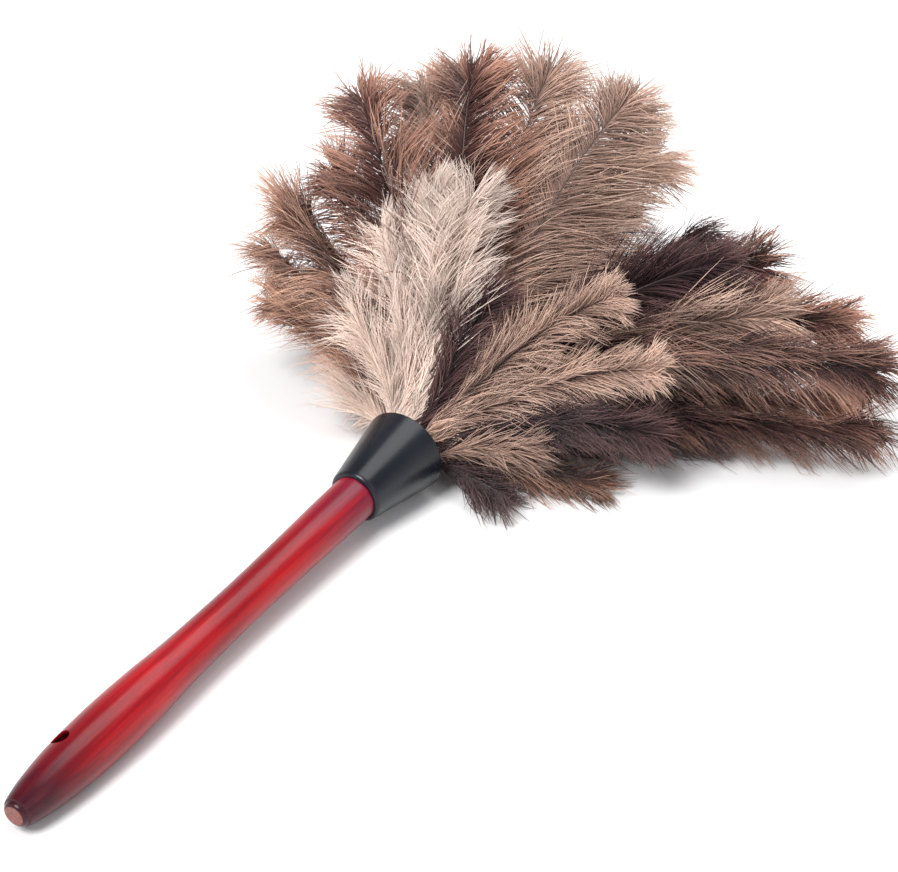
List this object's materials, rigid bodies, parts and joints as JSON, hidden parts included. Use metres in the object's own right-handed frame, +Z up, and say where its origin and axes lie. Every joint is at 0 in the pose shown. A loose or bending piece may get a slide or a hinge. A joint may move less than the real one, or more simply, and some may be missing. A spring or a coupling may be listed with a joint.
{
  "type": "feather duster",
  "caption": "Feather duster lying at rest: turned lacquered wooden handle with a hanging hole, tapered plastic ferrule and layers of wired ostrich plumes.",
  "frame": {"origin": "centre of the hanging hole through the grip, on the handle's axis", "axes": "+X runs from the butt to the plumes, in plan; +Z is up, away from the surface that the duster lies on; the handle rises 2 degrees towards its plumes, because its grip and the ferrule's mouth both touch that surface"},
  "size_m": [0.4541, 0.2988, 0.1456],
  "materials": {
    "handle_wood": "red stain under gloss lacquer",
    "ferrule_plastic": "satin moulded",
    "binding_wire": "drawn",
    "plume_cream": "soft ostrich barbs",
    "plume_beige": "soft ostrich barbs",
    "plume_brown": "soft ostrich barbs",
    "plume_plum": "soft ostrich barbs",
    "plume_tan": "soft ostrich barbs"
  },
  "bodies": {
    "root": {"handle": "handle_wood", "ferrule": "ferrule_plastic", "inner_binding": "binding_wire", "middle_binding": "binding_wire", "outer_binding": "binding_wire", "inner_plume_01": "plume_beige", "inner_plume_02": "plume_beige", "inner_plume_03": "plume_beige", "inner_plume_04": "plume_brown", "inner_plume_05": "plume_brown", "inner_plume_06": "plume_beige", "inner_plume_07": "plume_brown", "inner_plume_08": "plume_beige", "inner_plume_09": "plume_brown", "inner_plume_10": "plume_plum", "inner_plume_11": "plume_brown", "inner_plume_12": "plume_plum", "inner_plume_13": "plume_brown", "inner_plume_14": "plume_brown", "inner_plume_15": "plume_brown", "inner_plume_16": "plume_beige", "middle_plume_01": "plume_brown", "middle_plume_02": "plume_brown", "middle_plume_03": "plume_brown", "middle_plume_04": "plume_tan", "middle_plume_05": "plume_tan", "middle_plume_06": "plume_beige", "middle_plume_07": "plume_tan", "middle_plume_08": "plume_brown", "middle_plume_09": "plume_beige", "middle_plume_10": "plume_plum", "middle_plume_11": "plume_plum", "middle_plume_12": "plume_brown", "middle_plume_13": "plume_brown", "middle_plume_14": "plume_beige", "middle_plume_15": "plume_plum", "middle_plume_16": "plume_beige", "outer_plume_01": "plume_cream", "outer_plume_02": "plume_cream", "outer_plume_03": "plume_cream", "outer_plume_04": "plume_cream", "outer_plume_05": "plume_tan", "outer_plume_06": "plume_cream", "outer_plume_07": "plume_beige", "outer_plume_08": "plume_beige", "outer_plume_09": "plume_beige", "outer_plume_10": "plume_brown", "outer_plume_11": "plume_plum", "outer_plume_12": "plume_tan", "outer_plume_13": "plume_plum", "outer_plume_14": "plume_beige", "outer_plume_15": "plume_plum", "outer_plume_16": "plume_beige", "outer_plume_17": "plume_beige", "outer_plume_18": "plume_plum"}
  },
  "joints": []
}
